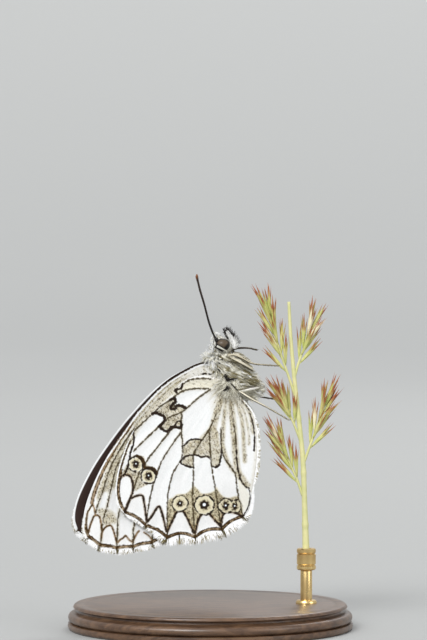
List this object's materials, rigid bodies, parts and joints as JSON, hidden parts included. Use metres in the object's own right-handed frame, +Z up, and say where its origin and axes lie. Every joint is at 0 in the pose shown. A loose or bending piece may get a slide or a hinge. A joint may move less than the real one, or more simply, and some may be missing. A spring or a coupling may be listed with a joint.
{
  "type": "marbled white butterfly model",
  "caption": "Marbled white butterfly at rest, head up with wings closed, clinging to a cut stem of flowering grass on a round display stand.",
  "frame": {"origin": "the middle of the round base's underside", "axes": "+Z up, towards the butterfly's head; +X towards its belly and the grass stem; -Y towards its right side, which faces the camera"},
  "size_m": [0.034, 0.034, 0.0423],
  "materials": {
    "wing": "matte white scales with brown lines, rings and olive dusting",
    "fur": "soft whitish grey and olive hair",
    "palp": "white hair with black bristles",
    "eye": "dark brown with a soft shine",
    "antenna": "black, with a red-brown club",
    "leg": "pale cream-brown, finely bristled",
    "grass": "dull yellow-green, red-brown at the spikelets' tips",
    "base_wood": "dark oiled wood",
    "brass": "satin"
  },
  "bodies": {
    "root": {"stand_base": "base_wood", "stand_rod": "brass", "stand_collar": "brass", "perch_stem": "grass", "perch_branch_1": "grass", "perch_branch_2": "grass", "perch_branch_3": "grass", "perch_branch_4": "grass", "perch_branch_5": "grass", "head": "fur", "thorax": "fur", "abdomen": "fur", "eye_right": "eye", "eye_left": "eye", "palp_right": "palp", "palp_left": "palp", "antenna_right": "antenna", "antenna_left": "antenna", "forewing_right": "wing", "forewing_left": "wing", "hindwing_right": "wing", "hindwing_left": "wing", "foreleg_right": "leg", "foreleg_left": "leg", "midleg_right": "leg", "midleg_left": "leg", "hindleg_right": "leg", "hindleg_left": "leg"}
  },
  "joints": []
}
